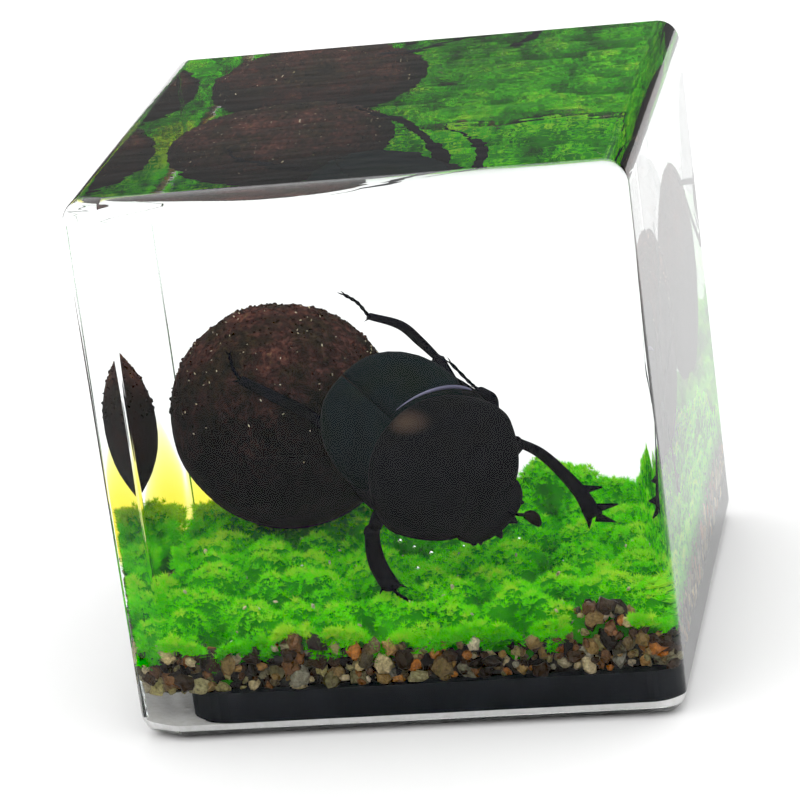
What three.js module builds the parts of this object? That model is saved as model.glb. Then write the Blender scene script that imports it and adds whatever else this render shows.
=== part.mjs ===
// Clear cast resin block of an embedded-insect specimen.
//
// The block is one solid, very nearly a cube, of clear resin with all twelve edges and eight
// corners rounded over. Everything sealed in it was surrounded by liquid resin that then set hard, so the
// cured resin, its specimen and its base layer handle as this single body.
//
// Units are millimetres. +Z is up, the beetle faces -Y and +X, and the origin is the middle
// of the face that the block stands on.

import * as THREE from 'three';
import { RoundedBoxGeometry } from 'three/addons/geometries/RoundedBoxGeometry.js';
import { mergeVertices } from 'three/addons/utils/BufferGeometryUtils.js';

// Driving dimensions
const BLOCK_WIDTH = 60; // along X, the side of the mould
const BLOCK_DEPTH = BLOCK_WIDTH * 0.99; // along Y, front and back ground and polished
const BLOCK_HEIGHT = BLOCK_WIDTH * 1.027; // along Z, as deep as the resin was poured
const EDGE_RADIUS = 2.5; // rounding of every edge and corner
const EDGE_STEPS = 6; // facets across a quarter round
const WELD_DISTANCE = 1e-3; // corners closer than this are one corner

// The resin as a plain solid: six flat faces joined by quarter rounds.
function roundedBlockGeometry() {
  const geometry = new RoundedBoxGeometry(
    BLOCK_WIDTH,
    BLOCK_DEPTH,
    BLOCK_HEIGHT,
    EDGE_STEPS,
    EDGE_RADIUS
  );
  geometry.deleteAttribute('normal');
  geometry.deleteAttribute('uv');
  return mergeVertices(geometry, WELD_DISTANCE);
}

function resinMaterial() {
  return new THREE.MeshStandardMaterial({
    color: 0xf3f8f6,
    roughness: 0.03,
    metalness: 0,
    transparent: true,
    opacity: 0.3
  });
}

function resinBlock() {
  const block = new THREE.Mesh(roundedBlockGeometry(), resinMaterial());
  block.name = 'resin_block';
  block.position.z = BLOCK_HEIGHT / 2;
  return block;
}

const specimen = new THREE.Group();
specimen.add(resinBlock());

export default specimen;
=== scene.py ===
# %% [markdown]
# # A dung beetle and its ball, cast in a clear resin block
# The finished thing is one hard, clear block. Sealed in it are a black base layer, a bed of
# gravel, a bed of moss, a ball of dung and the beetle that rolls it. The CAD model holds the
# block alone, so this lesson starts from that block and makes everything that is sealed in it.

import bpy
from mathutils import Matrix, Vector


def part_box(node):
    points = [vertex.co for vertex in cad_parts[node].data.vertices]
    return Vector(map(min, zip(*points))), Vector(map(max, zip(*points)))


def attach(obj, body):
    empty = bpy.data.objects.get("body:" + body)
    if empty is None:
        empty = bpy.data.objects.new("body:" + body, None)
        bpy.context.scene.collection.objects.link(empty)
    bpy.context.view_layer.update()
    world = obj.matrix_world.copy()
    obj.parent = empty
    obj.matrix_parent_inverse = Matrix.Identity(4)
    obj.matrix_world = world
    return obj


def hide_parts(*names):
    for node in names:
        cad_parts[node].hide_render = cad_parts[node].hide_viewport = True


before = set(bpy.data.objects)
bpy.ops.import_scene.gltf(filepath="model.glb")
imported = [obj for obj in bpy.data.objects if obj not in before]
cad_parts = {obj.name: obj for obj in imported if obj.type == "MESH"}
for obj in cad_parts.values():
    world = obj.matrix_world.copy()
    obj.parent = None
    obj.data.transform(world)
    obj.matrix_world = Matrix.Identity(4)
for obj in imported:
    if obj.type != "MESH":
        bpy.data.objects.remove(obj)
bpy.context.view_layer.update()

# %% The other modules
import math
import random

import bmesh
import bpy
from mathutils import Euler, Matrix, Vector, noise

# %% [markdown]
# ## Sizes that everything hangs on
# Blender works in metres, but a small specimen is easier to read in millimetres. So every
# place below is written in millimetres, and one factor turns it to metres when a mesh is
# finished. The block's own corners come from the frame.

# %% The block's corners, in millimetres
MM = 0.001

low_corner, high_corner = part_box("resin_block")
BLOCK_LOW = Vector(low_corner) / MM
BLOCK_HIGH = Vector(high_corner) / MM
BLOCK_SIZE = BLOCK_HIGH - BLOCK_LOW
BLOCK_MIDDLE = (BLOCK_HIGH + BLOCK_LOW) / 2
EDGE_RADIUS = 2.5
print("block size, mm:", [round(side, 2) for side in BLOCK_SIZE])


# %% [markdown]
# ## Four small helpers
# Colours are written as the sRGB hex values that a paint chart gives, and Cycles wants them
# linear. A material is a tree of nodes, so one function adds a node with its settings and
# its links. Every finished piece goes through the same last steps: metres, a mesh, a
# material, smooth or flat faces, and the CAD body that it moves with.

# %% Colour and node helpers
def linear(hex_colour, alpha=1.0):
    """The linear colour of an sRGB hex value."""
    channels = [int(hex_colour[i : i + 2], 16) / 255 for i in (1, 3, 5)]
    return (
        *(c / 12.92 if c <= 0.04045 else ((c + 0.055) / 1.055) ** 2.4 for c in channels),
        alpha,
    )


def add_node(tree, kind, settings=None, inputs=None):
    """Adds a node. An input that is a socket is linked, and any other value is set."""
    node = tree.nodes.new(kind)
    for name, value in (settings or {}).items():
        setattr(node, name, value)
    for name, value in (inputs or {}).items():
        socket = node.inputs[name]
        if isinstance(value, bpy.types.NodeSocket):
            tree.links.new(value, socket)
        else:
            socket.default_value = value
    return node


def new_material(name):
    """An empty material and its node tree."""
    material = bpy.data.materials.new(name)
    material.use_nodes = True
    material.node_tree.nodes.clear()
    return material, material.node_tree


def paint_ramp(tree, factor, stops):
    """A colour ramp over (place, hex colour) stops."""
    ramp = add_node(tree, "ShaderNodeValToRGB", inputs={"Fac": factor})
    elements = ramp.color_ramp.elements
    while len(elements) > 1:
        elements.remove(elements[-1])
    elements[0].position = stops[0][0]
    elements[0].color = linear(stops[0][1])
    for place, hex_colour in stops[1:]:
        elements.new(place).color = linear(hex_colour)
    return ramp.outputs["Color"]


# %% The last steps of every piece
def finish_piece(name, mesh_in_mm, material, smooth=True):
    """Turns a bmesh in millimetres into a placed object that rides on the block's body."""
    bmesh.ops.scale(mesh_in_mm, vec=(MM, MM, MM), verts=mesh_in_mm.verts)
    mesh = bpy.data.meshes.new(name)
    mesh_in_mm.to_mesh(mesh)
    mesh_in_mm.free()
    mesh.polygons.foreach_set("use_smooth", [smooth] * len(mesh.polygons))
    mesh.materials.append(material)
    piece = bpy.data.objects.new(name, mesh)
    bpy.context.scene.collection.objects.link(piece)
    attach(piece, "root")
    print(f"{name}: {len(mesh.polygons)} faces")
    return piece


# %% [markdown]
# ## The camera
# The block is seen a little from its right and from above, and the camera is tipped, so the
# block leans in the picture. The angles turn a camera that starts level and looks along +Y.

# %% Camera
CAMERA_SPOT = Vector((83.4, -411.3, 173.02))
CAMERA_TURN = math.radians(11.785)
CAMERA_DIP = math.radians(19.12)
CAMERA_TIP = math.radians(-7.727)
FOCAL_PIXELS = 3952.2
PICTURE_SIDE = 800
SENSOR_SIDE = 36.0

camera_data = bpy.data.cameras.new("camera")
camera_data.sensor_width = SENSOR_SIDE
camera_data.lens = FOCAL_PIXELS / PICTURE_SIDE * SENSOR_SIDE
camera_data.clip_start = 0.01
camera_data.clip_end = 20.0
camera = bpy.data.objects.new("camera", camera_data)
bpy.context.scene.collection.objects.link(camera)
camera.matrix_world = (
    Matrix.Translation(CAMERA_SPOT * MM)
    @ Matrix.Rotation(CAMERA_TURN, 4, "Z")
    @ Matrix.Rotation(math.pi / 2 - CAMERA_DIP, 4, "X")
    @ Matrix.Rotation(CAMERA_TIP, 4, "Z")
)
bpy.context.scene.camera = camera
print("lens, mm:", round(camera_data.lens, 1))

# %% [markdown]
# ## Floor and light
# A clear block shows what is round it as much as what is in it. The light is one large soft
# sky, brightest overhead and dim near the horizon, as under a studio's overhead softbox. A
# lamp would be no use in here: Cycles can't aim light at a lamp through curved clear
# resin, but it finds a large sky with every ray that leaves the block.

# %% Floor
FLOOR_DROP = 0.05
FLOOR_REACH = 3000.0

floor_material, tree = new_material("matt_white_paint")
floor_fleck = add_node(tree, "ShaderNodeTexNoise", inputs={"Scale": 40.0, "Detail": 2.0})
floor_surface = add_node(
    tree,
    "ShaderNodeBsdfPrincipled",
    inputs={
        "Base Color": paint_ramp(
            tree, floor_fleck.outputs["Fac"], [(0.0, "#c4c4c4"), (1.0, "#c8c8c8")]
        ),
        "Roughness": 0.9,
        "Specular IOR Level": 0.0,
    },
)
add_node(
    tree, "ShaderNodeOutputMaterial", inputs={"Surface": floor_surface.outputs["BSDF"]}
)

floor_mesh = bmesh.new()
bmesh.ops.create_grid(floor_mesh, x_segments=1, y_segments=1, size=FLOOR_REACH * MM)
bmesh.ops.translate(floor_mesh, verts=floor_mesh.verts, vec=(0, 0, -FLOOR_DROP * MM))
floor_data = bpy.data.meshes.new("floor")
floor_mesh.to_mesh(floor_data)
floor_mesh.free()
floor_data.materials.append(floor_material)
floor = bpy.data.objects.new("floor", floor_data)
bpy.context.scene.collection.objects.link(floor)

# %% Sky
SKY_OVERHEAD = 2.7
SKY_HORIZON = 0.30
SKY_FADE = (0.30, 0.62)

world = bpy.data.worlds.new("overhead_softbox")
bpy.context.scene.world = world
world.use_nodes = True
tree = world.node_tree
tree.nodes.clear()
sky_direction = add_node(tree, "ShaderNodeTexCoord")
sky_height = add_node(
    tree, "ShaderNodeSeparateXYZ", inputs={"Vector": sky_direction.outputs["Generated"]}
)
sky_strength = add_node(
    tree,
    "ShaderNodeMapRange",
    settings={"interpolation_type": "SMOOTHSTEP"},
    inputs={
        "Value": sky_height.outputs["Z"],
        "From Min": SKY_FADE[0],
        "From Max": SKY_FADE[1],
        "To Min": SKY_HORIZON,
        "To Max": SKY_OVERHEAD,
    },
)
sky_light = add_node(
    tree,
    "ShaderNodeBackground",
    inputs={"Color": (1.0, 1.0, 1.0, 1.0), "Strength": sky_strength.outputs["Result"]},
)
add_node(
    tree, "ShaderNodeOutputWorld", inputs={"Surface": sky_light.outputs["Background"]}
)

# %% Exposure and light paths
# Clear resin passes a ray on many times before it leaves, so the path limits are raised.
# The levels take the thin haze of reflected floor off the blacks.
BLACK_LEVEL = 0.035
WHITE_LEVEL = 0.97

scene = bpy.context.scene
scene.view_settings.view_transform = "Standard"
scene.view_settings.use_curve_mapping = True
scene.view_settings.curve_mapping.black_level = (BLACK_LEVEL,) * 3
scene.view_settings.curve_mapping.white_level = (WHITE_LEVEL,) * 3
scene.view_settings.curve_mapping.update()
scene.cycles.max_bounces = 24
scene.cycles.transmission_bounces = 20
scene.cycles.glossy_bounces = 12
scene.cycles.diffuse_bounces = 3

# %% [markdown]
# ## The clear block
# Casting resin is poured over the specimen, cures hard, and is then ground and polished.
# Its six faces are flat and every edge is softly rounded. A cube is bevelled for that. A
# narrow inset on each big face then keeps smooth shading from bending the flat, because a
# flat face that shades as if it were curved would bend everything seen through it.

# %% Polished clear resin
# Polyester casting resin, polished by hand: index about 1.5, no roughness, and polishing
# waves far too shallow to see except where they make a reflection shiver. The top was the
# open face of the mould, so it keeps the deeper, closer ripples that it set with.
RESIN_INDEX = 1.5
POLISH_WAVE_MM = 9.0
RIPPLE_MM = 2.2
RIPPLE_DEPTH = 4.0

resin_material, tree = new_material("polished_casting_resin")
resin_place = add_node(tree, "ShaderNodeTexCoord")
resin_stretch = add_node(
    tree,
    "ShaderNodeMapping",
    inputs={"Vector": resin_place.outputs["Object"], "Scale": (0.35, 1.0, 1.0)},
)
resin_wave = add_node(
    tree,
    "ShaderNodeTexNoise",
    inputs={
        "Vector": resin_stretch.outputs["Vector"],
        "Scale": 1 / (POLISH_WAVE_MM * MM),
        "Detail": 2.0,
        "Roughness": 0.5,
    },
)
resin_ripple = add_node(
    tree,
    "ShaderNodeTexNoise",
    inputs={
        "Vector": resin_stretch.outputs["Vector"],
        "Scale": 1 / (RIPPLE_MM * MM),
        "Detail": 1.0,
    },
)
resin_height = add_node(
    tree, "ShaderNodeSeparateXYZ", inputs={"Vector": resin_place.outputs["Object"]}
)
resin_open_face = add_node(
    tree,
    "ShaderNodeMapRange",
    inputs={
        "Value": resin_height.outputs["Z"],
        "From Min": (BLOCK_HIGH.z - 0.4) * MM,
        "From Max": BLOCK_HIGH.z * MM,
        "To Max": RIPPLE_DEPTH,
    },
)
resin_relief = add_node(
    tree,
    "ShaderNodeMath",
    settings={"operation": "MULTIPLY_ADD"},
    inputs={
        0: resin_ripple.outputs["Fac"],
        1: resin_open_face.outputs["Result"],
        2: resin_wave.outputs["Fac"],
    },
)
resin_bump = add_node(
    tree,
    "ShaderNodeBump",
    inputs={
        "Strength": 0.35,
        "Distance": 0.00004,
        "Height": resin_relief.outputs["Value"],
    },
)
resin_surface = add_node(
    tree,
    "ShaderNodeBsdfPrincipled",
    inputs={
        "Base Color": (1.0, 1.0, 1.0, 1.0),
        "Roughness": 0.0,
        "IOR": RESIN_INDEX,
        "Transmission Weight": 1.0,
        "Normal": resin_bump.outputs["Normal"],
    },
)
resin_tint = add_node(
    tree,
    "ShaderNodeVolumeAbsorption",
    inputs={"Color": linear("#eef7f4"), "Density": 6.0},
)
add_node(
    tree,
    "ShaderNodeOutputMaterial",
    inputs={
        "Surface": resin_surface.outputs["BSDF"],
        "Volume": resin_tint.outputs["Volume"],
    },
)

# %% Block mesh
# The front left upright edge was ground to a flat facet and the back left one was barely
# broken. So the facet is cut first, and the rounding is a share of the widest for each edge.
EDGE_SEGMENTS = 14
FLAT_BORDER = 0.12
FACET_ON_FRONT = 4.2
FACET_ON_LEFT = 1.95
FACET_SHARE = 0.12
BACK_LEFT_SHARE = 0.1

block_mesh = bmesh.new()
bmesh.ops.create_cube(block_mesh, size=1.0)
bmesh.ops.scale(block_mesh, vec=BLOCK_SIZE, verts=block_mesh.verts)
bmesh.ops.translate(block_mesh, vec=BLOCK_MIDDLE, verts=block_mesh.verts)
cut = bmesh.ops.bisect_plane(
    block_mesh,
    geom=block_mesh.verts[:] + block_mesh.edges[:] + block_mesh.faces[:],
    plane_co=(BLOCK_LOW.x + FACET_ON_FRONT, BLOCK_LOW.y, 0.0),
    plane_no=(-FACET_ON_LEFT, -FACET_ON_FRONT, 0.0),
    clear_outer=True,
)
facet_edges = [item for item in cut["geom_cut"] if isinstance(item, bmesh.types.BMEdge)]
bmesh.ops.holes_fill(block_mesh, edges=facet_edges, sides=4)
edge_share = block_mesh.edges.layers.float.new("bevel_weight_edge")
for edge in block_mesh.edges:
    middle = (edge.verts[0].co + edge.verts[1].co) / 2 - BLOCK_MIDDLE
    upright_left = abs(middle.z) < 1.0 and middle.x < 0
    if upright_left:
        edge[edge_share] = FACET_SHARE if middle.y < 0 else BACK_LEFT_SHARE
    else:
        edge[edge_share] = 1.0
sharp_data = bpy.data.meshes.new("sharp_block")
block_mesh.to_mesh(sharp_data)
block_mesh.free()
sharp_block = bpy.data.objects.new("sharp_block", sharp_data)
bpy.context.scene.collection.objects.link(sharp_block)
rounding = sharp_block.modifiers.new("rounding", "BEVEL")
rounding.width = EDGE_RADIUS
rounding.segments = EDGE_SEGMENTS
rounding.profile = 0.5
rounding.limit_method = "WEIGHT"
block_mesh = bmesh.new()
block_mesh.from_object(sharp_block, bpy.context.evaluated_depsgraph_get())
bpy.data.objects.remove(sharp_block)
wide_faces = [face for face in block_mesh.faces if face.calc_area() > 150.0]
bmesh.ops.inset_individual(block_mesh, faces=wide_faces, thickness=FLAT_BORDER, depth=0.0)
bmesh.ops.recalc_face_normals(block_mesh, faces=block_mesh.faces)
block = finish_piece("cast_resin_block", block_mesh, resin_material)
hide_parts("resin_block")

# %% [markdown]
# ## The black base layer
# A first pour of black resin, or a black sheet, sits a few millimetres above the underside.
# Clear resin was poured under, round and over it, so a bright line of clear resin shows
# beneath. A slab with rounded plan corners is enough. It keeps clear of the rounded edges.

# %% Black pigmented resin
black_material, tree = new_material("black_pigmented_resin")
black_place = add_node(tree, "ShaderNodeTexCoord")
black_cloud = add_node(
    tree,
    "ShaderNodeTexNoise",
    inputs={"Vector": black_place.outputs["Object"], "Scale": 400.0, "Detail": 4.0},
)
black_surface = add_node(
    tree,
    "ShaderNodeBsdfPrincipled",
    inputs={
        "Base Color": paint_ramp(
            tree, black_cloud.outputs["Fac"], [(0.35, "#26282b"), (0.75, "#2c2e33")]
        ),
        "Roughness": 0.45,
        "IOR": 1.05,
    },
)
add_node(
    tree, "ShaderNodeOutputMaterial", inputs={"Surface": black_surface.outputs["BSDF"]}
)

# %% Base layer mesh
BASE_UNDERSIDE = 1.85
BASE_TOP = 5.3
BASE_GAP = 0.85
BASE_LEFT_GAP = 5.5
BASE_CORNER = 3.0
BASE_FRONT_LEFT_CORNER = 6.0

base_low = Vector((BLOCK_LOW.x + BASE_LEFT_GAP, BLOCK_LOW.y + BASE_GAP, BASE_UNDERSIDE))
base_high = Vector((BLOCK_HIGH.x - BASE_GAP, BLOCK_HIGH.y - BASE_GAP, BASE_TOP))


def slab(low, high, corner, front_left_corner=None):
    """A box between two corners, its four upright edges rounded."""
    mesh = bmesh.new()
    bmesh.ops.create_cube(mesh, size=1.0)
    bmesh.ops.scale(mesh, vec=high - low, verts=mesh.verts)
    bmesh.ops.translate(mesh, vec=(high + low) / 2, verts=mesh.verts)
    upright = [
        edge
        for edge in mesh.edges
        if abs(edge.verts[0].co.z - edge.verts[1].co.z) > (high.z - low.z) / 2
    ]
    front_left = min(upright, key=lambda edge: edge.verts[0].co.x + edge.verts[0].co.y)
    upright.remove(front_left)
    for edges, offset in ((upright, corner), ([front_left], front_left_corner or corner)):
        bmesh.ops.bevel(
            mesh,
            geom=edges,
            offset=offset,
            segments=8,
            profile=0.5,
            affect="EDGES",
            material=-1,
        )
    return mesh


base_layer = slab(base_low, base_high, BASE_CORNER, BASE_FRONT_LEFT_CORNER)
finish_piece("black_base_layer", base_layer, black_material, smooth=False)

# %% Pale sheet for a painted light line
# A pale sheet under the black layer is painted light: its edge stands for the thin line of
# light along the foot of the block. The black stops short of the left wall, and there the sheet
# shows as a pale patch of painted light in the corner.
SHEET_THICKNESS = 0.7
SHEET_FRONT_LEFT_CORNER = 4.5

light_line_sheet_material, tree = new_material("pale_sheet_for_painted_light_line")
light_line_sheet_place = add_node(tree, "ShaderNodeTexCoord")
light_line_sheet_grain = add_node(
    tree,
    "ShaderNodeTexNoise",
    inputs={"Vector": light_line_sheet_place.outputs["Object"], "Scale": 1 / (0.8 * MM)},
)
light_line_sheet_surface = add_node(
    tree,
    "ShaderNodeBsdfPrincipled",
    inputs={
        "Base Color": paint_ramp(
            tree, light_line_sheet_grain.outputs["Fac"], [(0.3, "#f2f2f0"), (0.7, "#ffffff")]
        ),
        "Roughness": 0.6,
        "IOR": 1.05,
    },
)
add_node(
    tree, "ShaderNodeOutputMaterial", inputs={"Surface": light_line_sheet_surface.outputs["BSDF"]}
)
sheet_high = Vector((base_high.x, base_high.y, BASE_UNDERSIDE - 0.02))
sheet_low = Vector((BLOCK_LOW.x + BASE_GAP, base_low.y, BASE_UNDERSIDE - SHEET_THICKNESS))
light_line_sheet = slab(sheet_low, sheet_high, BASE_CORNER, SHEET_FRONT_LEFT_CORNER)
finish_piece("pale_sheet_painted_light_line", light_line_sheet, light_line_sheet_material, smooth=False)

# %% [markdown]
# ## The gravel
# Mixed natural gravel, one to three millimetres across, fills the space up to the moss. Only
# the stones against the clear resin can be seen, so stones are set in rows round the four
# sides, and a rough core fills the middle. Each stone is a small ball of 40 faces, squashed
# and knocked about by noise. Flat faces give it the look of a broken chip.

# %% Natural mixed stone
# Worn quartz, sandstone and slate chips. Each stone carries one number, its tone, and the
# ramp turns that into the colour of a kind of stone. A grain under half a millimetre breaks
# the colour up. A film of air that clings to each stone keeps it glossy inside the resin,
# so its index is set for stone in air seen through resin.
STONE_GRAIN_MM = 0.35

stone_material, tree = new_material("mixed_natural_gravel")
stone_tone = add_node(
    tree, "ShaderNodeAttribute", settings={"attribute_name": "stone_tone"}
)
stone_place = add_node(tree, "ShaderNodeTexCoord")
stone_grain = add_node(
    tree,
    "ShaderNodeTexNoise",
    inputs={
        "Vector": stone_place.outputs["Object"],
        "Scale": 1 / (STONE_GRAIN_MM * MM),
        "Detail": 5.0,
        "Roughness": 0.65,
    },
)
stone_colour = paint_ramp(
    tree,
    stone_tone.outputs["Fac"],
    [
        (0.0, "#241c15"),
        (0.2, "#4a3828"),
        (0.34, "#986f4a"),
        (0.4, "#d8883c"),
        (0.46, "#b89a60"),
        (0.6, "#575344"),
        (0.72, "#beb67a"),
        (0.82, "#a4a498"),
        (0.92, "#f2dea4"),
        (1.0, "#fff4d8"),
    ],
)
stone_speckle = paint_ramp(
    tree, stone_grain.outputs["Fac"], [(0.34, "#584e46"), (0.5, "#c6beb2"), (0.66, "#faf6f0")]
)
stone_mix = add_node(
    tree,
    "ShaderNodeMix",
    settings={"data_type": "RGBA", "blend_type": "MULTIPLY"},
    inputs={"Factor": 0.75, "A": stone_colour, "B": stone_speckle},
)
stone_bump = add_node(
    tree,
    "ShaderNodeBump",
    inputs={
        "Strength": 0.5,
        "Distance": 0.00008,
        "Height": stone_grain.outputs["Fac"],
    },
)
stone_surface = add_node(
    tree,
    "ShaderNodeBsdfPrincipled",
    inputs={
        "Base Color": stone_mix.outputs["Result"],
        "Roughness": 0.35,
        "IOR": 1.25,
        "Normal": stone_bump.outputs["Normal"],
    },
)
add_node(
    tree, "ShaderNodeOutputMaterial", inputs={"Surface": stone_surface.outputs["BSDF"]}
)


# %% [markdown]
# A joined mesh of hundreds of stones is built from one small template mesh. A copy of the
# template is moved into place, added to the growing bmesh, and removed. A number for each face
# stays with the stone, for its colour.

# %% Add many copies of one small shape
def scatter(target, template, placements, tone_name, tones):
    """Adds template to target once for each placement matrix, with a tone on its faces."""
    tone_layer = target.faces.layers.float.new(tone_name)
    face_count = len(template.polygons)
    for placement in placements:
        copy = template.copy()
        copy.transform(placement)
        target.from_mesh(copy)
        bpy.data.meshes.remove(copy)
    target.faces.ensure_lookup_table()
    for number, tone in enumerate(tones):
        for index in range(number * face_count, (number + 1) * face_count):
            target.faces[index][tone_layer] = tone


def template_from(mesh_in_mm, name):
    """A plain mesh of a bmesh, for scatter to copy."""
    mesh = bpy.data.meshes.new(name)
    mesh_in_mm.to_mesh(mesh)
    mesh_in_mm.free()
    return mesh


def turned(dice):
    """A random turn as a 4 x 4 matrix."""
    angles = [dice.uniform(0, 2 * math.pi) for _ in range(3)]
    return Euler(angles, "XYZ").to_matrix().to_4x4()


# %% Stones in rows round the four sides
CONTENT_GAP = Vector((0.7, 1.1))
STONE_STEP = 1.3
STONE_LEVEL_STEP = 1.15
STONE_ROWS = 3
STONE_SIZE = (0.4, 1.5)

dice = random.Random(20)
content_low = Vector((BLOCK_LOW.x + CONTENT_GAP.x, BLOCK_LOW.y + CONTENT_GAP.y))
content_high = Vector((BLOCK_HIGH.x - CONTENT_GAP.x, BLOCK_HIGH.y - CONTENT_GAP.y))


def gravel_top(x, y):
    """How high the gravel reaches at a plan point."""
    swell = noise.noise(Vector((x * 0.2, y * 0.2, 3.3))) + 0.6 * noise.noise(Vector((x * 0.5, y * 0.5, 8.3)))
    right_heap = 3.6 * math.exp(-(((x - 22.5) / 4.2) ** 2) - ((y + 28.0) / 9.0) ** 2)
    middle_heap = 1.5 * math.exp(-(((x + 10.6) / 3.4) ** 2) - ((y + 28.0) / 9.0) ** 2)
    return 9.6 + 1.1 * swell + right_heap + middle_heap


stone_spots = []
for row in range(STONE_ROWS):
    inset = 0.9 + row * 1.2
    x0, x1 = content_low.x + inset, content_high.x - inset
    y0, y1 = content_low.y + inset, content_high.y - inset
    along_x = [x0 + i * STONE_STEP for i in range(int((x1 - x0) / STONE_STEP) + 1)]
    along_y = [y0 + i * STONE_STEP for i in range(int((y1 - y0) / STONE_STEP) + 1)]
    ring = [(x, y) for x in along_x for y in (y0, y1)]
    ring += [(x, y) for y in along_y for x in (x0, x1)]
    for x, y in ring:
        top = gravel_top(x, y)
        levels = 1 + int((top - BASE_TOP) / STONE_LEVEL_STEP)
        for level in range(levels):
            z = BASE_TOP + 0.6 + level * (top - BASE_TOP - 1.0) / max(levels - 1, 1)
            stone_spots.append(
                Vector(
                    (
                        x + dice.uniform(-0.5, 0.5),
                        y + dice.uniform(-0.3, 0.3),
                        z + dice.uniform(-0.35, 0.35),
                    )
                )
            )

stone_matrices = []
stone_tones = []
stone_spots = [spot for spot in stone_spots if dice.random() > 0.12]
for spot in stone_spots:
    size = STONE_SIZE[0] + (STONE_SIZE[1] - STONE_SIZE[0]) * dice.random() ** 2
    shape = Matrix.Diagonal(
        (size, size * dice.uniform(0.6, 0.95), size * dice.uniform(0.5, 0.85), 1.0)
    )
    stone_matrices.append(Matrix.Translation(spot) @ turned(dice) @ shape)
    stone_tones.append(dice.random())

pebble = bmesh.new()
bmesh.ops.create_uvsphere(pebble, u_segments=8, v_segments=5, radius=1.0)
for vert in pebble.verts:
    vert.co *= 1.0 + 0.4 * noise.noise(vert.co * 1.4 + Vector((5.0, 1.0, 2.0)))
stones = bmesh.new()
pebble_mesh = template_from(pebble, "pebble")
scatter(stones, pebble_mesh, stone_matrices, "stone_tone", stone_tones)
for vert in stones.verts:
    vert.co += noise.noise_vector(vert.co * 1.1) * 0.22
    vert.co.z = max(vert.co.z, BASE_TOP + 0.02)
    vert.co.x = min(max(vert.co.x, BLOCK_LOW.x + 0.4), BLOCK_HIGH.x - 0.4)
    vert.co.y = min(max(vert.co.y, BLOCK_LOW.y + 0.8), BLOCK_HIGH.y - 0.8)
finish_piece("gravel_stones", stones, stone_material, smooth=False)
print("stones:", len(stone_spots))

# %% Gravel core
CORE_INSET = 1.7
# The core takes the darkest stone tone: painted shade, so the gaps between the stones read dark.
CORE_SHADE_TONE = 0.0

core_low = Vector((content_low.x + CORE_INSET, content_low.y + CORE_INSET, BASE_TOP + 0.02))
core_high = Vector((content_high.x - CORE_INSET, content_high.y - CORE_INSET, 9.0))
core = slab(core_low, core_high, 2.0)
bmesh.ops.subdivide_edges(core, edges=core.edges[:], cuts=16, use_grid_fill=True)
tone_layer = core.faces.layers.float.new("stone_tone")
for face in core.faces:
    face[tone_layer] = CORE_SHADE_TONE
for vert in core.verts:
    vert.co += noise.noise_vector(vert.co * 0.7) * 0.5
    vert.co.z = max(vert.co.z, BASE_TOP + 0.02)
finish_piece("gravel_core", core, stone_material, smooth=False)

# %% [markdown]
# ## The moss
# Bright green preserved moss lies on the gravel in cushions a few millimetres across, made
# of short tips that catch the light. One bumpy sheet gives the cushions and the dark between
# the tips. Thousands of small spiky tufts on it give the tips. A tuft is eight thin blades
# from one root, each a three-sided cone.

# %% Moss height
MOSS_LEVEL = 10.6
BALL_CENTRE = Vector((-15.8, 17.0, 26.3))
BALL_RADII = Vector((13.2, 12.0, 13.2))
BEETLE_SPOT = Vector((2.5, -6.9, 26.9))


MOSS_CUSHION_MM = 5.6
MOSS_CLUMP_MM = 2.5


def dome(x, y, across, height, shift):
    """Rounded domes about across wide, set at random: 0 between them, height on top."""
    spot = Vector((x / across + shift, y / across - shift, shift))
    nearest = noise.voronoi(spot)[0][0]
    return height * math.sqrt(max(0.0, 1.0 - (nearest / 0.7) ** 2))


def moss_relief(x, y):
    """The height of the cushions and of the clumps on them."""
    return dome(x, y, MOSS_CUSHION_MM, 2.9, 0.4) + dome(x, y, MOSS_CLUMP_MM, 1.3, 5.3)


def corner_heap_and_light_pool(x, y):
    """How much a plan point belongs to the moss heap in the back left corner, which also gets a painted pool of
    light.
    """
    return math.exp(-(((x + 28.5) / 4.0) ** 2) - ((y - 27.0) / 5.0) ** 2)


def moss_height(x, y):
    """The moss surface above the underside, in millimetres."""
    spot = Vector((x, y, 0.0))
    swell = 0.9 * noise.noise(spot * 0.12 + Vector((7.0, 2.0, 0.0)))
    hollow = 3.4 * math.exp(-(((x - 0.8) / 5.6) ** 2) - ((y - 4.0) / 7.5) ** 2)
    hollow += 2.0 * math.exp(-(((x + 9.5) / 2.6) ** 2) - ((y - 6.0) / 6.0) ** 2)
    back_bank = 3.2 * math.exp(-(((x - 12.5) / 3.6) ** 2) - ((y - 25.0) / 6.0) ** 2)
    corner_bank = 0.3 * corner_heap_and_light_pool(x, y)
    right_dip = 1.2 * math.exp(-(((x - 24.0) / 5.5) ** 2) - ((y - 28.0) / 9.0) ** 2)
    front = 1.9 * math.exp(-((y + 28.5) / 2.2) ** 2)
    slope = 0.6 * y / 28.0
    banks = back_bank + corner_bank - right_dip
    return MOSS_LEVEL + moss_relief(x, y) + swell + slope + banks - hollow - front


# %% Dyed preserved moss
# Dyed moss or flock: soft, matt, thin enough that light shines through the tips, which is why
# its green is so vivid. Its tone runs from painted shade between the tufts to painted light on tips.
MOSS_PATCH_MM = 6.0

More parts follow.
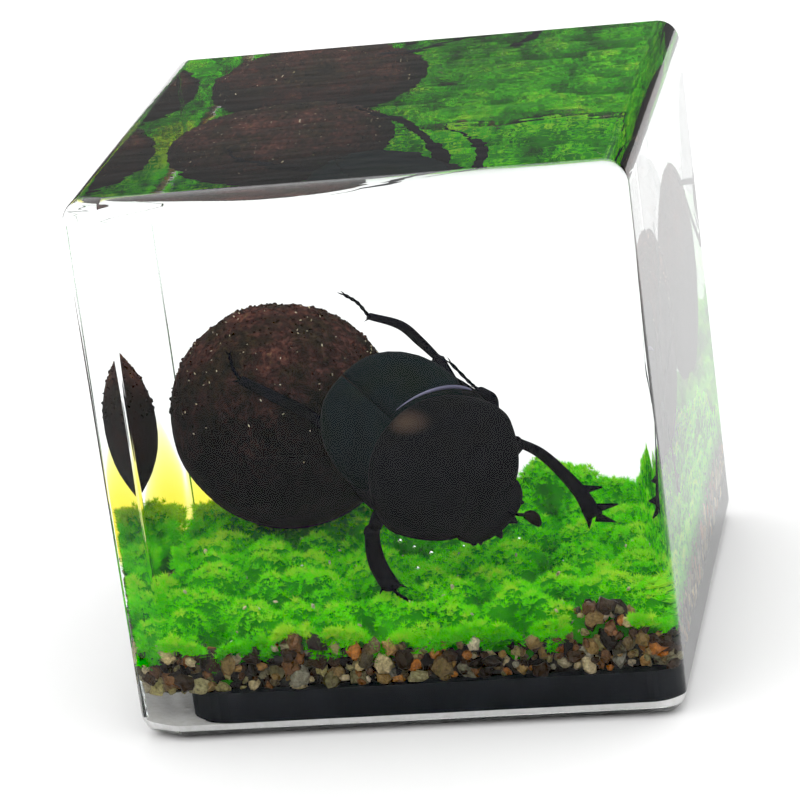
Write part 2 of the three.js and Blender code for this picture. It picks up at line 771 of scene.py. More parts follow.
moss_material, tree = new_material("dyed_preserved_moss")
moss_tone_and_shade = add_node(tree, "ShaderNodeAttribute", settings={"attribute_name": "moss_tone_and_shade"})
moss_place = add_node(tree, "ShaderNodeTexCoord")
moss_patch = add_node(
    tree,
    "ShaderNodeTexNoise",
    inputs={
        "Vector": moss_place.outputs["Object"],
        "Scale": 1 / (MOSS_PATCH_MM * MM),
        "Detail": 3.0,
        "Roughness": 0.6,
    },
)
moss_sum = add_node(
    tree,
    "ShaderNodeMath",
    settings={"operation": "MULTIPLY_ADD"},
    inputs={0: moss_patch.outputs["Fac"], 1: 0.5, 2: moss_tone_and_shade.outputs["Fac"]},
)
moss_colour = paint_ramp(
    tree,
    moss_sum.outputs["Value"],
    [(0.22, "#0f3a03"), (0.42, "#2c9e04"), (0.62, "#5aea00"), (0.84, "#90ff10"), (1.0, "#d8ff48")],
)
moss_front = add_node(
    tree,
    "ShaderNodeBsdfPrincipled",
    inputs={
        "Base Color": moss_colour,
        "Roughness": 0.85,
        "IOR": 1.1,
    },
)
moss_behind = add_node(tree, "ShaderNodeBsdfTranslucent", inputs={"Color": moss_colour})
moss_surface = add_node(
    tree,
    "ShaderNodeMixShader",
    inputs={0: 0.42, 1: moss_front.outputs["BSDF"], 2: moss_behind.outputs["BSDF"]},
)
add_node(
    tree, "ShaderNodeOutputMaterial", inputs={"Surface": moss_surface.outputs["Shader"]}
)

# %% Moss sheet
MOSS_SHEET_STEPS = 120

MOSS_BED_INSET = 1.6

moss_low = content_low + Vector((MOSS_BED_INSET, MOSS_BED_INSET))
moss_high = content_high - Vector((MOSS_BED_INSET, MOSS_BED_INSET))
moss_half = (moss_high - moss_low) / 2
moss_middle = (moss_high + moss_low) / 2
sheet = bmesh.new()
bmesh.ops.create_grid(
    sheet, x_segments=MOSS_SHEET_STEPS, y_segments=MOSS_SHEET_STEPS, size=1.0
)
bmesh.ops.scale(sheet, vec=(moss_half.x, moss_half.y, 1.0), verts=sheet.verts)
bmesh.ops.translate(sheet, vec=(moss_middle.x, moss_middle.y, 0.0), verts=sheet.verts)
sheet_tone = sheet.faces.layers.float.new("moss_tone_and_shade")
for vert in sheet.verts:
    vert.co.z = moss_height(vert.co.x, vert.co.y) - 0.55
rim = [edge for edge in sheet.edges if edge.is_boundary]
for step in range(2):
    grown = bmesh.ops.extrude_edge_only(sheet, edges=rim)["geom"]
    rim = [item for item in grown if isinstance(item, bmesh.types.BMEdge)]
    rim = [edge for edge in rim if edge.is_boundary]
    for vert in {vert for edge in rim for vert in edge.verts}:
        vert.co.z -= 1.2
        vert.co += 0.3 * noise.noise_vector(vert.co * 1.3)
# The sheet gets a low tone: painted shade for the dark between the tufts.
for face in sheet.faces:
    face[sheet_tone] = 0.2
bmesh.ops.recalc_face_normals(sheet, faces=sheet.faces)
finish_piece("moss_bed", sheet, moss_material)

# %% Moss tufts
# A tuft is eight thin blades from one root. Its tone is painted light and shade: higher on the
# cushion is brighter and deeper under the surface darker, so crowns are bright and clefts dark.
TUFT_PIECES = 5
TUFTS_PER_PIECE = 4700
TUFT_BLADES = 8
BLADE_WIDTH = 0.24
TUFT_SIZE = (0.45, 0.85)
TUFT_EDGE = 0.2
SIDE_SHARE = 0.28

tuft = bmesh.new()
for blade in range(TUFT_BLADES):
    lean = Matrix.Rotation(blade * 2 * math.pi * 0.382, 4, "Z") @ Matrix.Rotation(
        math.radians(12.0 + 9.0 * blade), 4, "X"
    )
    bmesh.ops.create_cone(
        tuft,
        cap_ends=True,
        segments=3,
        radius1=BLADE_WIDTH / 2,
        radius2=0.0,
        depth=1.0,
        matrix=lean @ Matrix.Translation((0.0, 0.0, 0.5)),
    )
tuft_mesh = template_from(tuft, "moss_tuft")
tuft_low = content_low + Vector((TUFT_EDGE, TUFT_EDGE))
tuft_high = content_high - Vector((TUFT_EDGE, TUFT_EDGE))


def tuft_spot():
    """A random place for a tuft: on top, or against one of the four upright sides."""
    x = dice.uniform(tuft_low.x, tuft_high.x)
    y = dice.uniform(tuft_low.y, tuft_high.y)
    if dice.random() > SIDE_SHARE:
        return Vector((x, y, moss_height(x, y) + dice.uniform(-0.9, -0.3)))
    side = dice.choice(("front", "front", "back", "left", "right"))
    depth = dice.uniform(0.0, 1.2)
    if side == "front":
        y = tuft_low.y + depth
    elif side == "back":
        y = tuft_high.y - depth
    elif side == "left":
        x = tuft_low.x + depth
    else:
        x = tuft_high.x - depth
    top = moss_height(x, y)
    overhang = 5.0 * max(0.0, noise.noise(Vector((x * 0.3, y * 0.3, 9.1))))
    bottom = min(gravel_top(x, y) + 0.3 - overhang, top - 0.4)
    return Vector((x, y, dice.uniform(bottom, top)))


def hides_heap(spot):
    """Whether a tuft would cover stones that are heaped higher than the moss."""
    heap = gravel_top(spot.x, spot.y)
    near_side = min(spot.y - tuft_low.y, tuft_high.x - spot.x, spot.x - tuft_low.x) < 3.5
    return near_side and heap > 10.9 and spot.z < heap + 0.2


for number in range(TUFT_PIECES):
    matrices = []
    tones = []
    for _ in range(TUFTS_PER_PIECE):
        spot = tuft_spot()
        while hides_heap(spot):
            spot = tuft_spot()
        size = dice.uniform(*TUFT_SIZE)
        tilt = Euler((dice.gauss(0, 0.5), dice.gauss(0, 0.5), dice.uniform(0, 6.28)), "XYZ")
        matrices.append(
            Matrix.Translation(spot) @ tilt.to_matrix().to_4x4() @ Matrix.Scale(size, 4)
        )
        # Painted light and shade: tufts high on the cushions are lighter, sunk ones darker, and the back left corner
        # gets a painted pool of light. A little random tone is added.
        under = moss_height(spot.x, spot.y) - spot.z
        tones.append(
            0.17
            + 0.15 * moss_relief(spot.x, spot.y)
            + 0.4 * corner_heap_and_light_pool(spot.x, spot.y)
            - 0.12 * under
            + dice.gauss(0, 0.05)
        )
    tufts = bmesh.new()
    scatter(tufts, tuft_mesh, matrices, "moss_tone_and_shade", tones)
    for vert in tufts.verts:
        vert.co.x = min(max(vert.co.x, BLOCK_LOW.x + 0.2), BLOCK_HIGH.x - 0.2)
        vert.co.y = min(max(vert.co.y, BLOCK_LOW.y + 0.3), BLOCK_HIGH.y - 0.3)
    finish_piece(f"moss_tufts_{number + 1}", tufts, moss_material, smooth=False)

# %% [markdown]
# ## The dung ball
# The beetle rolls dung and soil into a ball of nearly even size. Dry, it is a reddish brown
# crust of fibres and crumbs. A fine ball is roughened by three sizes of noise, and some
# hundreds of loose crumbs are set on it, so that its outline is rough too.

# %% Dry dung and soil
# Digested plant fibre and soil, dried: dead matt and reddish brown on the crumbs. Painted shade
# makes it near black in the pits, and darkens the ball from its top down to its underside.
DUNG_PATCH_MM = 6.5
DUNG_CRUMB_MM = 0.7
# Painted shade on the ball runs from darkest at the lower height to lightest at the upper.
DUNG_SHADE_LOW_Z = 20.0
DUNG_LIGHT_HIGH_Z = 36.0

dung_material, tree = new_material("dry_dung_and_soil")
dung_place = add_node(tree, "ShaderNodeTexCoord")
dung_patch = add_node(
    tree,
    "ShaderNodeTexNoise",
    inputs={
        "Vector": dung_place.outputs["Object"],
        "Scale": 1 / (DUNG_PATCH_MM * MM),
        "Detail": 8.0,
        "Roughness": 0.72,
    },
)
dung_crumb = add_node(
    tree,
    "ShaderNodeTexNoise",
    inputs={
        "Vector": dung_place.outputs["Object"],
        "Scale": 1 / (DUNG_CRUMB_MM * MM),
        "Detail": 2.5,
        "Roughness": 0.7,
    },
)
dung_ground = paint_ramp(
    tree,
    dung_patch.outputs["Fac"],
    [(0.34, "#1c1c12"), (0.45, "#3a3020"), (0.52, "#4c322e"), (0.6, "#6a443e"), (0.7, "#947a5e")],
)
# Pale flecks on the crumbs, and painted shade in the pits: this noise also makes the bump, so its low places are
# darkened.
dung_fleck_and_pit_shade = paint_ramp(
    tree, dung_crumb.outputs["Fac"], [(0.36, "#665e56"), (0.5, "#a49a92"), (0.6, "#f4ead8"), (0.68, "#ffffff")]
)
dung_mix = add_node(
    tree,
    "ShaderNodeMix",
    settings={"data_type": "RGBA", "blend_type": "MULTIPLY"},
    inputs={"Factor": 0.85, "A": dung_ground, "B": dung_fleck_and_pit_shade},
)
dung_height = add_node(
    tree, "ShaderNodeSeparateXYZ", inputs={"Vector": dung_place.outputs["Object"]}
)
dung_light_height = add_node(
    tree,
    "ShaderNodeMapRange",
    inputs={
        "Value": dung_height.outputs["Z"],
        "From Min": DUNG_SHADE_LOW_Z * MM,
        "From Max": DUNG_LIGHT_HIGH_Z * MM,
    },
)
# Painted shade: the ball is lightest at its top and darkest at its underside, as light falls from above.
dung_painted_shade = paint_ramp(
    tree, dung_light_height.outputs["Result"], [(0.0, "#3a3839"), (0.5, "#6e6864"), (1.0, "#ece2dc")]
)
dung_colour = add_node(
    tree,
    "ShaderNodeMix",
    settings={"data_type": "RGBA", "blend_type": "MULTIPLY"},
    inputs={"Factor": 1.0, "A": dung_mix.outputs["Result"], "B": dung_painted_shade},
)
dung_bump = add_node(
    tree,
    "ShaderNodeBump",
    inputs={"Strength": 0.22, "Distance": 0.0002, "Height": dung_crumb.outputs["Fac"]},
)
dung_surface = add_node(
    tree,
    "ShaderNodeBsdfPrincipled",
    inputs={
        "Base Color": dung_colour.outputs["Result"],
        "Roughness": 0.9,
        "IOR": 1.1,
        "Normal": dung_bump.outputs["Normal"],
    },
)
add_node(
    tree, "ShaderNodeOutputMaterial", inputs={"Surface": dung_surface.outputs["BSDF"]}
)


# %% Ball mesh
def ball_roughness(direction):
    """How far the crust stands proud in a direction, as a share of the radius."""
    lump = 0.016 * noise.noise(direction * 2.1)
    clod = 0.014 * noise.noise(direction * 7.0)
    crumb = 0.011 * noise.noise(direction * 19.0) + 0.006 * noise.noise(direction * 47.0)
    worn = min(max(0.45 + 0.6 * direction.z + 0.3 * direction.x, 0.12), 0.9)
    return lump + (clod + crumb) * worn


ball = bmesh.new()
bmesh.ops.create_icosphere(ball, subdivisions=7, radius=1.0)
for vert in ball.verts:
    direction = vert.co.normalized()
    vert.co = BALL_CENTRE + direction * (1.0 + ball_roughness(direction)) * BALL_RADII
finish_piece("dung_ball", ball, dung_material)

# %% Crumbs on the ball
CRUMB_COUNT = 2200
CRUMB_SIZE = (0.08, 0.34)
CRUMB_LOWEST = 0.1

crumb = bmesh.new()
bmesh.ops.create_icosphere(crumb, subdivisions=1, radius=1.0)
crumb_mesh = template_from(crumb, "dung_crumb")
crumb_matrices = []
for _ in range(CRUMB_COUNT):
    direction = Vector([dice.gauss(0, 1) for _ in range(3)]).normalized()
    size = dice.uniform(*CRUMB_SIZE)
    spot = BALL_CENTRE + direction * (1.0 + ball_roughness(direction)) * BALL_RADII
    if spot.x - size < BLOCK_LOW.x + 0.2 or spot.y + size > BLOCK_HIGH.y - 0.2:
        continue
    if direction.z < CRUMB_LOWEST:
        continue
    shape = Matrix.Diagonal((size, size * 0.8, size * dice.uniform(0.4, 0.8), 1.0))
    crumb_matrices.append(Matrix.Translation(spot) @ turned(dice) @ shape)
crumbs = bmesh.new()
scatter(crumbs, crumb_mesh, crumb_matrices, "crumb_tone", [0.5] * len(crumb_matrices))
finish_piece("dung_crumbs", crumbs, dung_material, smooth=False)

# %% [markdown]
# ## The beetle's shell
# A ball-rolling scarab is black all over. Its shell is chitin, a hard layered skin with a
# satin gloss and fine pits. One material serves every plate, with a green or brown cast that
# drifts across it. Its legs get the same with a cooler, bluer cast.

# %% Black chitin
# Insect shell, near black with a faint oily green and brown, pitted at a quarter
# millimetre. Its index is about 1.52, but it lies in resin of 1.5. Only their ratio
# counts there, which is why a sealed beetle loses nearly all its gloss.
CHITIN_INDEX = 1.52 / RESIN_INDEX
PIT_MM = 0.28
CAST_MM = 7.0
# A brown sheen painted on the chest shield: a painted reflection, centred on this spot.
PAINTED_SHEEN_SPOT = Vector((2.0, -11.4, 31.2))
PAINTED_SHEEN_SQUASH = (0.75, 0.6, 1.7)
PAINTED_SHEEN_REACH = 2.7
PAINTED_SHEEN_BROWN = "#40332a"


def chitin(name, casts, roughness, painted_sheen_spot=None):
    """A satin black shell with pits and a slow drift between the cast colours. The spot argument
    is a place in the block where a brown sheen is painted in, a painted reflection."""
    material, tree = new_material(name)
    place = add_node(tree, "ShaderNodeTexCoord")
    drift = add_node(
        tree,
        "ShaderNodeTexNoise",
        inputs={
            "Vector": place.outputs["Object"],
            "Scale": 1 / (CAST_MM * MM),
            "Detail": 2.0,
        },
    )
    pits = add_node(
        tree,
        "ShaderNodeTexVoronoi",
        inputs={"Vector": place.outputs["Object"], "Scale": 1 / (PIT_MM * MM)},
    )
    satin = add_node(
        tree,
        "ShaderNodeTexNoise",
        inputs={
            "Vector": place.outputs["Object"],
            "Scale": 1 / (1.2 * MM),
            "Detail": 4.0,
        },
    )
    gloss = add_node(
        tree,
        "ShaderNodeMapRange",
        inputs={
            "Value": satin.outputs["Fac"],
            "To Min": roughness - 0.08,
            "To Max": roughness + 0.12,
        },
    )
    relief = add_node(
        tree,
        "ShaderNodeBump",
        inputs={"Strength": 0.03, "Distance": 0.00004, "Height": pits.outputs["Distance"]},
    )
    colour = paint_ramp(tree, drift.outputs["Fac"], casts)
    # Painted reflection: a brown sheen mixed into the colour round the spot.
    if painted_sheen_spot:
        offset = add_node(
            tree,
            "ShaderNodeVectorMath",
            settings={"operation": "SUBTRACT"},
            inputs={0: place.outputs["Object"], 1: painted_sheen_spot * MM},
        )
        squash = add_node(
            tree,
            "ShaderNodeVectorMath",
            settings={"operation": "MULTIPLY"},
            inputs={0: offset.outputs["Vector"], 1: PAINTED_SHEEN_SQUASH},
        )
        reach = add_node(
            tree,
            "ShaderNodeVectorMath",
            settings={"operation": "LENGTH"},
            inputs={0: squash.outputs["Vector"]},
        )
        fade = add_node(
            tree,
            "ShaderNodeMapRange",
            settings={"interpolation_type": "SMOOTHSTEP"},
            inputs={
                "Value": reach.outputs["Value"],
                "From Max": PAINTED_SHEEN_REACH * MM,
                "To Min": 1.0,
                "To Max": 0.0,
            },
        )
        patch = add_node(
            tree,
            "ShaderNodeMix",
            settings={"data_type": "RGBA"},
            inputs={
                "Factor": fade.outputs["Result"], "A": colour, "B": linear(PAINTED_SHEEN_BROWN)
            },
        )
        colour = patch.outputs["Result"]
    surface = add_node(
        tree,
        "ShaderNodeBsdfPrincipled",
        inputs={
            "Base Color": colour,
            "Roughness": gloss.outputs["Result"],
            "IOR": CHITIN_INDEX,
            "Normal": relief.outputs["Normal"],
        },
    )
    add_node(
        tree, "ShaderNodeOutputMaterial", inputs={"Surface": surface.outputs["BSDF"]}
    )
    return material


wing_case_material = chitin(
    "black_chitin_wing_case", [(0.3, "#050d0f"), (0.5, "#081316"), (0.7, "#0a130e")], 0.4
)
shield_material = chitin(
    "black_chitin_shield", [(0.3, "#07080b"), (0.5, "#090a0e"), (0.7, "#0b0b0b")], 0.42,
    painted_sheen_spot=PAINTED_SHEEN_SPOT,
)
# Pale violet: a painted highlight for the shield's hind margin.
margin_highlight_material = chitin(
    "painted_highlight_chitin_margin", [(0.3, "#5c5a70"), (0.5, "#75738c"), (0.7, "#8a88a0")], 0.4
)
leg_material = chitin(
    "black_chitin_leg", [(0.3, "#000104"), (0.5, "#00010c"), (0.7, "#010103")], 0.6
)
club_material = chitin(
    "brown_antenna_club", [(0.3, "#0a0706"), (0.5, "#120c09"), (0.7, "#1a110b")], 0.5
)

# %% [markdown]
# ## The beetle's body
# The body is modelled lying level, with its head along +X and its back along +Z, and then
# turned and moved to its place on the ball: head down and towards the viewer, tail against
# the ball. Every plate starts as a ball of rings with its poles at head and tail. Its rings
# are then given the width, the height above the margin and the depth below it that the
# plate has at that point.

# %% Where the beetle stands
BEETLE_SCALE = Vector((1.16, 1.06, 1.08))
BEETLE_TURN = Euler(
    (math.radians(42.2), math.radians(24.3), math.radians(-50.5)), "XYZ"
)
BEETLE_PLACE = (
    Matrix.Translation(BEETLE_SPOT)
    @ BEETLE_TURN.to_matrix().to_4x4()
    @ Matrix.Diagonal((*BEETLE_SCALE, 1.0))
)


def signed_power(value, power):
    """A power that keeps the sign, which makes a round section squarer or sharper."""
    return math.copysign(abs(value) ** power, value)


def shell_plate(tail_x, head_x, half_width, top, bottom, blunt=(2.6, 2.6), square=0.85):
    """A closed body plate. half_width, top and bottom are functions of 0 (tail) to 1.
    blunt is how square it ends at the tail and at the head."""
    plate = bmesh.new()
    bmesh.ops.create_uvsphere(plate, u_segments=56, v_segments=36, radius=1.0)
    bmesh.ops.rotate(
        plate, verts=plate.verts, cent=(0, 0, 0), matrix=Matrix.Rotation(math.pi / 2, 3, "Y")
    )
    for vert in plate.verts:
        x, y, z = vert.co
        ring = math.hypot(y, z)
        along = (x + 1.0) / 2.0
        power = blunt[0] if x < 0 else blunt[1]
        swell = max(0.0, 1.0 - abs(x) ** power) ** (1.0 / power)
        across, up = (y / ring, z / ring) if ring > 1e-6 else (0.0, 0.0)
        height = top(along) if up > 0 else bottom(along)
        vert.co = Vector(
            (
                tail_x + (head_x - tail_x) * along,
                signed_power(across, square) * half_width(along) * swell,
                signed_power(up, 1.0) * height * swell,
            )
        )
    return plate


def bell(value, centre, spread):
    """A smooth bump of height 1."""
    return math.exp(-(((value - centre) / spread) ** 2))


def place_beetle_part(plate):
    """Moves a plate from the level beetle to where the beetle stands."""
    bmesh.ops.transform(plate, matrix=BEETLE_PLACE, verts=plate.verts)
    bmesh.ops.recalc_face_normals(plate, faces=plate.faces)
    return plate


# %% Wing cases
# The two wing cases meet in a straight seam down the back. One whole shell is shaped, cut
# on the seam and capped, and the other is its mirror image.
WING_CASE_TAIL = -13.0
WING_CASE_HEAD = 2.4
SEAM_HALF = 0.05

for side, name in ((1, "wing_case_far"), (-1, "wing_case_near")):
    case = shell_plate(
        WING_CASE_TAIL,
        WING_CASE_HEAD,
        half_width=lambda t: 6.4 + 1.6 * bell(t, 0.6, 0.4),
        top=lambda t: 3.0 + 1.9 * bell(t, 0.62, 0.45),
        bottom=lambda t: 1.8,
        blunt=(2.7, 3.2),
    )
    for vert in case.verts:
        furrow = math.cos(vert.co.y * 2 * math.pi / 0.95)
        if vert.co.z > 0.6:
            vert.co.z -= 0.05 * furrow
    cut = bmesh.ops.bisect_plane(
        case,
        geom=case.verts[:] + case.edges[:] + case.faces[:],
        plane_co=(0, side * SEAM_HALF, 0),
        plane_no=(0, -side, 0),
        clear_outer=True,
    )["geom_cut"]
    seam_edges = [item for item in cut if isinstance(item, bmesh.types.BMEdge)]
    bmesh.ops.edgeloop_fill(case, edges=seam_edges)
    finish_piece(name, place_beetle_part(case), wing_case_material)

# %% Chest shield
# The pronotum: widest at its middle, arched, and hollowed at the front for the head.
# Its hind margin is a clean raised edge that runs in an arc from side to side.
SHIELD_TAIL = -1.9
SHIELD_HEAD = 10.6
MARGIN_ARC = 0.025

shield = shell_plate(
    SHIELD_TAIL,
    SHIELD_HEAD,
    half_width=lambda t: 6.3 + 2.5 * bell(t, 0.42, 0.4),
    top=lambda t: 4.0 + 2.2 * bell(t, 0.36, 0.42),
    bottom=lambda t: 2.8,
    blunt=(7.0, 2.7),
    square=0.9,
)
for vert in shield.verts:
    along = (vert.co.x - SHIELD_TAIL) / (SHIELD_HEAD - SHIELD_TAIL)
    vert.co.x += MARGIN_ARC * vert.co.y**2 * max(0.0, 1.0 - 1.7 * along)
    reach = max(0.0, vert.co.x - 7.6) / 3.0
    vert.co.x -= 1.1 * reach * bell(vert.co.y, 0.0, 3.6)
    vert.co.z -= 0.09 * max(0.0, vert.co.x - 5.0) ** 1.6
finish_piece("chest_shield", place_beetle_part(shield), shield_material)

# %% Underside
# Chest and belly under the shells, with the belly's five rings pressed in.
underside = shell_plate(
    -11.6,
    8.2,
    half_width=lambda t: 6.6 + 1.9 * bell(t, 0.6, 0.4),
    top=lambda t: 1.0,
    bottom=lambda t: 4.6 + 2.4 * bell(t, 0.62, 0.35),
)
for vert in underside.verts:
    if vert.co.x < -1.5 and vert.co.z < 0:
        vert.co.z *= 1.0 - 0.045 * math.cos(vert.co.x * 2 * math.pi / 1.9)
finish_piece("underside", place_beetle_part(underside), shield_material)

# %% Head
# A flat shovel of a head. Six teeth on its front edge dig and shape the ball.
head = shell_plate(
    6.6,
    12.2,
    half_width=lambda t: 4.4,
    top=lambda t: 1.3 - 0.5 * t,
    bottom=lambda t: 1.3 - 0.6 * t,
    blunt=(2.2, 2.2),
    square=1.0,
)
for angle, length in ((14.0, 1.5), (42.0, 1.4), (72.0, 1.1)):
    for sign in (1, -1):
        aim = math.radians(sign * angle)
        tooth = (
            Matrix.Translation((8.4 + 3.7 * math.cos(aim), 4.1 * math.sin(aim), -0.1))
            @ Matrix.Rotation(aim, 4, "Z")
            @ Matrix.Rotation(math.pi / 2, 4, "Y")
            @ Matrix.Diagonal((0.45, 1.0, 1.0, 1.0))
        )
        bmesh.ops.create_cone(
            head,
            cap_ends=True,
            segments=12,
            radius1=1.0,
            radius2=0.12,
            depth=length,
            matrix=tooth,
        )
HEAD_NOD = Matrix.Translation((8.0, 0, -1.4)) @ Matrix.Rotation(
    math.radians(16.0), 4, "Y"
) @ Matrix.Translation((-8.0, 0, 0))
bmesh.ops.transform(head, matrix=HEAD_NOD, verts=head.verts)
for sign in (1, -1):
    bmesh.ops.create_uvsphere(
        head,
        u_segments=16,
        v_segments=10,
        radius=0.75,
        matrix=Matrix.Translation((9.2, sign * 3.6, -1.6)),
    )
finish_piece("head", place_beetle_part(head), shield_material)


# %% [markdown]
# ## The legs
# A leg is a chain: thigh, shin and a thin jointed foot. Each stretch starts as a ring of a
# dozen points that is extruded along the leg, turned to face the way it goes and scaled to
# the leg's thickness there. The same tool makes feelers and straws.

# %% A limb along a path
def limb(mesh, points, widths, sides=12, flat=1.0):
    """Extrudes a capped ring along points, with a width at each. flat squashes it."""
    points = [Vector(point) for point in points]
    last = len(points) - 1
    ways = [
        (points[min(i + 1, last)] - points[max(i - 1, 0)]).normalized()
        for i in range(len(points))
    ]
    facing = Vector((0, 0, 1)).rotation_difference(ways[0]).to_matrix().to_4x4()
    start = bmesh.ops.create_circle(
        mesh,
        cap_ends=True,
        segments=sides,
        radius=widths[0] / 2,
        matrix=Matrix.Translation(points[0]) @ facing @ Matrix.Diagonal((1, flat, 1, 1)),
    )
    cap = start["verts"][0].link_faces[0]
    made = set(start["verts"])
    for i in range(1, len(points)):
        grown = bmesh.ops.extrude_face_region(mesh, geom=[cap])["geom"]
        cap = next(item for item in grown if isinstance(item, bmesh.types.BMFace))
        ring = cap.verts[:]
        made.update(ring)
        turn = ways[i - 1].rotation_difference(ways[i]).to_matrix()
        size = widths[i] / widths[i - 1]
        bmesh.ops.translate(mesh, verts=ring, vec=points[i] - points[i - 1])
        bmesh.ops.rotate(mesh, verts=ring, cent=points[i], matrix=turn)
        bmesh.ops.scale(
            mesh, verts=ring, vec=(size,) * 3, space=Matrix.Translation(-points[i])
        )
    return made


def smooth_path(points, steps=5):
    """A Catmull-Rom curve through points, so that a few points bend smoothly."""
    points = [Vector(point) for point in points]
    padded = [2 * points[0] - points[1], *points, 2 * points[-1] - points[-2]]
    path = []
    for a, b, c, d in zip(padded, padded[1:], padded[2:], padded[3:]):
        for step in range(steps):
            t = step / steps
            square = (2 * a - 5 * b + 4 * c - d) * t * t
            cube = (3 * b - 3 * c + d - a) * t**3
            path.append((2 * b + (c - a) * t + square + cube) / 2)
    return [*path, points[-1]]


def spread(values, count):
    """values stretched to count numbers, by straight lines between them."""
    stretched = []
    for i in range(count):
        place = i / (count - 1) * (len(values) - 1)
        left = min(int(place), len(values) - 2)
        share = place - left
        stretched.append(values[left] * (1 - share) + values[left + 1] * share)
    return stretched


def smooth_limb(mesh, points, widths, sides=12, flat=1.0, steps=5):
    """A limb on the smooth curve through points."""
    path = smooth_path(points, steps)
    return limb(mesh, path, spread(widths, len(path)), sides, flat)


def spike(mesh, root, tip, width):
    """A thorn, tooth or spur: a short cone from root to tip."""
    root, tip = Vector(root), Vector(tip)
    way = tip - root
    facing = Vector((0, 0, 1)).rotation_difference(way.normalized()).to_matrix().to_4x4()
    bmesh.ops.create_cone(
        mesh,
        cap_ends=True,
        segments=10,
        radius1=width / 2,
        radius2=width / 14,
        depth=way.length,
        matrix=Matrix.Translation(root + way / 2) @ facing,
    )


# %% [markdown]
# A leg's places are measured on the posed insect, so they are given where it stands in the
# block and not on the level beetle. Each leg has a thigh from its hip inside the chest to
# its knee, a shin that widens to its spurs, and a foot of five small joints with two claws.
# The fore legs have no foot. Their shins end in broad digging teeth.

# %% The six legs
HIPS = {
    "fore": (5.5, 3.2, -3.2),
    "middle": (0.5, 3.5, -4.0),
    "hind": (-3.5, 3.0, -4.2),
}
FOOT_JOINTS = 5
FOOT_WIDTH = 0.4
CLAW_LENGTH = 0.7

LEGS = {
    "leg_far_hind": {
        "hip": ("hind", 1),
        "thigh": [(5.4, 2.4, 30.8), (3.9, 5.7, 34.4)],
        "thigh_widths": [1.7, 2.3, 1.5],
        "shin": [(3.9, 5.7, 34.4), (1.6, 10.0, 35.6), (-0.9, 14.0, 36.8), (-4.7, 17.0, 37.5)],
        "shin_widths": [0.85, 1.15, 1.2, 0.95],
        "foot": [(-4.7, 17.0, 37.5), (-5.9, 18.0, 38.9), (-7.4, 18.8, 39.8)],
        "spurs": [((-4.4, 16.9, 37.4), (-5.3, 17.0, 36.9), 0.35)],
    },
    "leg_near_hind": {
        "hip": ("hind", -1),
        "thigh": [(-4.0, -2.0, 25.6), (-6.9, 2.6, 25.6)],
        "thigh_widths": [2.6, 3.4, 2.0],
        "shin": [(-6.9, 2.6, 25.6), (-11.1, 4.2, 29.2), (-14.6, 4.6, 31.4), (-18.6, 6.2, 33.4)],
        "shin_widths": [1.1, 1.35, 1.3, 1.1],
        "foot": [(-18.6, 6.2, 33.4), (-19.4, 7.0, 34.6), (-19.8, 8.2, 36.0)],
        "spurs": [((-18.4, 6.1, 33.3), (-19.7, 6.4, 33.3), 0.4)],
    },
    "leg_far_middle": {
        "hip": ("middle", 1),
        "thigh": [(9.0, -1.9, 27.4), (9.6, 1.4, 27.6)],
        "thigh_widths": [1.6, 2.0, 1.5],
        "shin": [(9.6, 1.4, 27.6), (9.5, 4.5, 28.6), (8.9, 7.9, 29.0), (7.5, 10.7, 29.3)],
        "shin_widths": [1.0, 1.3, 1.5, 1.2],
        "foot": [(7.3, 10.9, 29.3), (6.2, 12.4, 30.0), (4.3, 13.4, 32.1)],
        "spurs": [((7.6, 10.6, 29.1), (7.9, 11.8, 28.8), 0.3)],
    },
    "leg_near_middle": {
        "hip": ("middle", -1),
        "thigh": [(-2.0, -8.8, 21.0), (-3.8, -10.8, 18.6)],
        "thigh_widths": [3.0, 3.6, 2.2],
        "shin": [(-3.8, -10.8, 18.6), (-3.4, -14.0, 17.2), (-2.6, -17.0, 15.9), (-1.2, -20.4, 14.6)],
        "shin_widths": [1.6, 1.9, 2.2, 2.3],
        "foot": [(-1.2, -20.4, 14.6), (-0.4, -21.4, 13.9), (0.6, -22.3, 13.5)],
        "spurs": [
            ((-1.9, -19.8, 14.8), (-2.5, -20.6, 13.8), 0.5),
            ((-0.8, -20.2, 14.9), (0.6, -20.6, 14.4), 0.6),
        ],
    },
    "leg_far_fore": {
        "hip": ("fore", 1),
        "thigh": [(11.8, -7.7, 26.0), (13.3, -7.0, 27.1)],
        "thigh_widths": [1.9, 2.3, 1.6],
        "shin": [(12.9, -7.0, 27.1), (15.3, -7.5, 25.8), (17.4, -8.0, 23.7), (19.4, -8.5, 21.0), (20.6, -8.9, 18.3)],
        "shin_widths": [1.1, 1.35, 1.5, 1.8, 2.3],
        "foot": None,
        "spurs": [
            ((19.2, -8.4, 21.4), (21.8, -8.5, 21.6), 1.3),
            ((20.4, -8.7, 19.2), (23.3, -8.8, 19.6), 1.3),
            ((20.8, -8.8, 18.3), (22.8, -8.9, 17.6), 1.2),
            ((20.0, -8.9, 18.2), (19.9, -9.0, 17.0), 0.8),
        ],
    },
    "leg_near_fore": {
        "hip": ("fore", -1),
        "thigh": [(3.4, -11.4, 19.6), (2.2, -12.4, 19.2)],
        "thigh_widths": [1.9, 2.2, 1.6],
        "shin": [(2.2, -12.4, 19.2), (3.0, -12.2, 19.0), (4.0, -12.2, 18.8), (5.0, -12.3, 18.6)],
        "shin_widths": [1.1, 1.4, 1.6, 1.7],
        "foot": None,
        "spurs": [
            ((3.4, -12.2, 18.6), (3.2, -12.3, 18.0), 0.7),
            ((4.2, -12.2, 18.5), (4.1, -12.3, 17.9), 0.7),
            ((5.0, -12.3, 18.4), (5.2, -12.4, 17.8), 0.7),
        ],
    },
}

